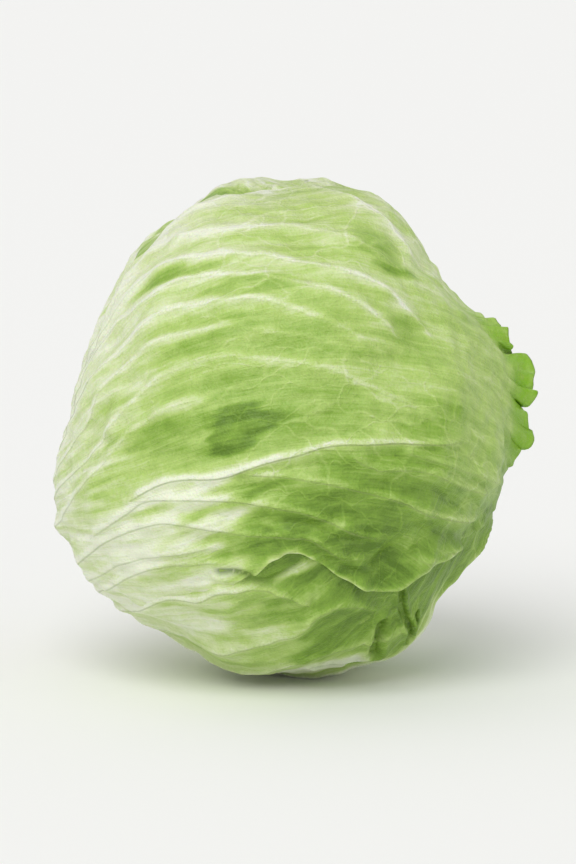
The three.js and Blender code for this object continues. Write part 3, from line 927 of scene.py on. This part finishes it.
class LETTUCE_OT_tucked_leaves(bpy.types.Operator):
    """Make the outer leaves that are tucked under the others"""
    bl_idname = "lettuce.tucked_leaves"
    bl_label = "Tucked leaves"

    def execute(self, context):
        for name in ("outer_leaf_upper", "outer_leaf_side", "outer_leaf_ground", "outer_leaf_rear"):
            dress_leaf(context, name)
        return {"FINISHED"}


class LETTUCE_OT_heart(bpy.types.Operator):
    """Finish the inner leaves and the heart, which keep their CAD shape"""
    bl_idname = "lettuce.heart"
    bl_label = "Heart and inner leaves"

    def execute(self, context):
        material = shared_material("moist_inner_leaf", heart_leaf, context.scene.lettuce_colours)
        for name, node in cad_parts.items():
            if name == "heart" or name.startswith("inner_leaf"):
                for slot in node.material_slots:
                    slot.material = material
        return {"FINISHED"}


class LETTUCE_OT_stem(bpy.types.Operator):
    """Make the tapering stem with its rusted cut face"""
    bl_idname = "lettuce.stem"
    bl_label = "Stem"

    SIDES = 96
    RINGS = 26
    CUT_RINGS = 16  # of those, on the cut face
    LENGTH_SHARE = 0.72  # of the diagonal of the CAD stem's box
    RIM_DROP = 1.2  # millimetres from the cut to the top of the taper
    RIM_INSET = 1.0  # millimetres by which the cut stops short of the taper

    def execute(self, context):
        scene = context.scene
        head = Head(in_millimetres(scene.lettuce_head))
        low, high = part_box("stem")
        length = (high - low).length / MM * self.LENGTH_SHARE
        points, rust = self.skin(head, length)
        faces = self.faces(len(points))
        mesh = bpy.data.meshes.new("dressed_stem")
        mesh.from_pydata((points * MM).tolist(), [], faces)
        mesh.polygons.foreach_set("use_smooth", [True] * len(mesh.polygons))
        mesh.attributes.new("rust", "FLOAT", "POINT").data.foreach_set("value", rust.astype(np.float32))
        mesh.materials.append(shared_material("cut_stem_flesh", cut_stem, scene.lettuce_colours))
        piece = bpy.data.objects.new("dressed_stem", mesh)
        scene.collection.objects.link(piece)
        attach(piece, BODY)
        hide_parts("stem")
        return {"FINISHED"}

    def skin(self, head, length):
        """Points from the middle of the cut, over its rim and down the taper, and how rusted each is."""
        turn = np.linspace(0, 2 * math.pi, self.SIDES, endpoint=False)
        around = np.cos(turn)[:, None] * head.zero + np.sin(turn)[:, None] * head.quarter
        taper = math.tan(head.stem_cone)
        cut, rim = head.cut_radius, head.cut_radius * taper
        points, rust = [], []
        for i in range(self.RINGS):
            on_cut = i < self.CUT_RINGS
            if on_cut:
                share = (i + 0.5) / self.CUT_RINGS
                along = np.full(self.SIDES, cut)
                reach = np.full(self.SIDES, share * (rim - self.RIM_INSET))
            else:
                share = (i - self.CUT_RINGS) / (self.RINGS - self.CUT_RINGS - 1)
                along = np.full(self.SIDES, cut - self.RIM_DROP - share * (length - self.RIM_DROP))
                reach = along * taper
            ring = along[:, None] * head.stem + reach[:, None] * around
            wobble = ripple(ring, 7, 5) * (0.3 if on_cut else 0.15)
            ring = ring + wobble[:, None] * head.stem
            points.append(ring)
            ring_and_rim = math.exp(-((share - 0.62) / 0.1) ** 2) + math.exp(-((share - 1.0) / 0.14) ** 2)
            browned = 0.25 + 0.8 * ring_and_rim if on_cut else 0.5 * math.exp(-share * 9)
            rust.append(np.full(self.SIDES, browned))
        points = np.vstack([cut * head.stem[None], *points, (cut - length) * head.stem[None]])
        points[:, 2] += head.height
        return points, np.concatenate([[0.2], *rust, [0.0]])

    def faces(self, count):
        sides = self.SIDES
        faces = [[0, 1 + i, 1 + (i + 1) % sides] for i in range(sides)]
        for ring in range(self.RINGS - 1):
            a = 1 + ring * sides
            for i in range(sides):
                j = (i + 1) % sides
                faces.append([a + i, a + sides + i, a + sides + j, a + j])
        last = 1 + (self.RINGS - 1) * sides
        faces += [[last + i, count - 1, last + (i + 1) % sides] for i in range(sides)]
        return faces


class LETTUCE_OT_stage(bpy.types.Operator):
    """Set out the pale floor, the soft studio light and the camera"""
    bl_idname = "lettuce.stage"
    bl_label = "Stage"

    # The big soft lamp is above and to the left of the camera, and is even over the whole floor.
    LAMP_DIRECTION = (-0.22, -0.75, 0.84)
    LAMP_SOFTNESS = math.radians(40)
    LAMP_STRENGTH = 1.5
    SKY_LIGHT = 0.66
    SKY_SEEN = 0.9
    FLOOR_WIDTH = 40000

    def execute(self, context):
        scene = context.scene
        stage = scene.lettuce_stage
        centre = Vector((0, 0, scene.lettuce_head.height))
        self.lay_floor(scene, stage)
        lamp = bpy.data.lights.new("soft_lamp", "SUN")
        lamp.energy, lamp.angle = self.LAMP_STRENGTH, self.LAMP_SOFTNESS
        stand = bpy.data.objects.new("soft_lamp", lamp)
        stand.rotation_euler = Vector(self.LAMP_DIRECTION).to_track_quat("Z", "Y").to_euler()
        scene.collection.objects.link(stand)
        world = scene.world = bpy.data.worlds.new("studio")
        world.use_nodes = True
        tree = world.node_tree
        tree.nodes.clear()
        seen = add(tree, "LightPath", {})
        strength = add(tree, "MapRange", {0: seen, 3: self.SKY_LIGHT, 4: self.SKY_SEEN})
        sky = add(tree, "Background", {0: (1, 1, 1, 1), 1: strength})
        add(tree, "OutputWorld", {0: sky}, out=None)
        scene.view_settings.view_transform = "Standard"
        back = Vector((0, -math.cos(stage.view_height), math.sin(stage.view_height)))
        view = bpy.data.cameras.new("view")
        view.lens = stage.lens
        camera = bpy.data.objects.new("view", view)
        camera.location = centre + back * stage.view_distance
        camera.rotation_euler = (-back).to_track_quat("-Z", "Y").to_euler()
        scene.collection.objects.link(camera)
        scene.camera = camera
        return {"FINISHED"}

    def lay_floor(self, scene, stage):
        half = self.FLOOR_WIDTH / 2 * MM
        mesh = bpy.data.meshes.new("floor")
        corners = [(-half, -half, 0), (half, -half, 0), (half, half, 0), (-half, half, 0)]
        mesh.from_pydata(corners, [], [[0, 1, 2, 3]])
        mesh.materials.append(shared_material("matte_floor_paint", floor_paint, stage))
        floor = bpy.data.objects.new("floor", mesh)
        scene.collection.objects.link(floor)


OPERATORS = [
    LETTUCE_OT_front_leaf, LETTUCE_OT_lower_leaf, LETTUCE_OT_wrapping_leaves, LETTUCE_OT_tucked_leaves,
    LETTUCE_OT_heart, LETTUCE_OT_stem, LETTUCE_OT_stage,
]


class LETTUCE_PT_panel(bpy.types.Panel):
    """Sizes, colours and makers of the lettuce"""
    bl_idname = "LETTUCE_PT_panel"
    bl_label = "Crisphead lettuce"
    bl_space_type = "VIEW_3D"
    bl_region_type = "UI"
    bl_category = "Lettuce"

    def draw(self, context):
        for group in GROUPS:
            box = self.layout.box()
            values = getattr(context.scene, group)
            for name in GROUPS[group].__annotations__:
                box.prop(values, name)
        for operator in OPERATORS:
            self.layout.operator(operator.bl_idname)


GROUPS = {
    "lettuce_head": LettuceHead,
    "lettuce_leaves": LettuceLeaves,
    "lettuce_colours": LettuceColours,
    "lettuce_stage": LettuceStage,
}


def register():
    for cls in (*GROUPS.values(), *OPERATORS, LETTUCE_PT_panel):
        bpy.utils.register_class(cls)
    for name, cls in GROUPS.items():
        setattr(bpy.types.Scene, name, PointerProperty(type=cls))


def unregister():
    for name in GROUPS:
        delattr(bpy.types.Scene, name)
    for cls in (LETTUCE_PT_panel, *reversed(OPERATORS), *reversed(GROUPS.values())):
        bpy.utils.unregister_class(cls)


def main():
    register()
    bpy.ops.lettuce.front_leaf()
    bpy.ops.lettuce.lower_leaf()
    bpy.ops.lettuce.wrapping_leaves()
    bpy.ops.lettuce.tucked_leaves()
    bpy.ops.lettuce.heart()
    bpy.ops.lettuce.stem()
    bpy.ops.lettuce.stage()


if __name__ == "__main__":
    main()
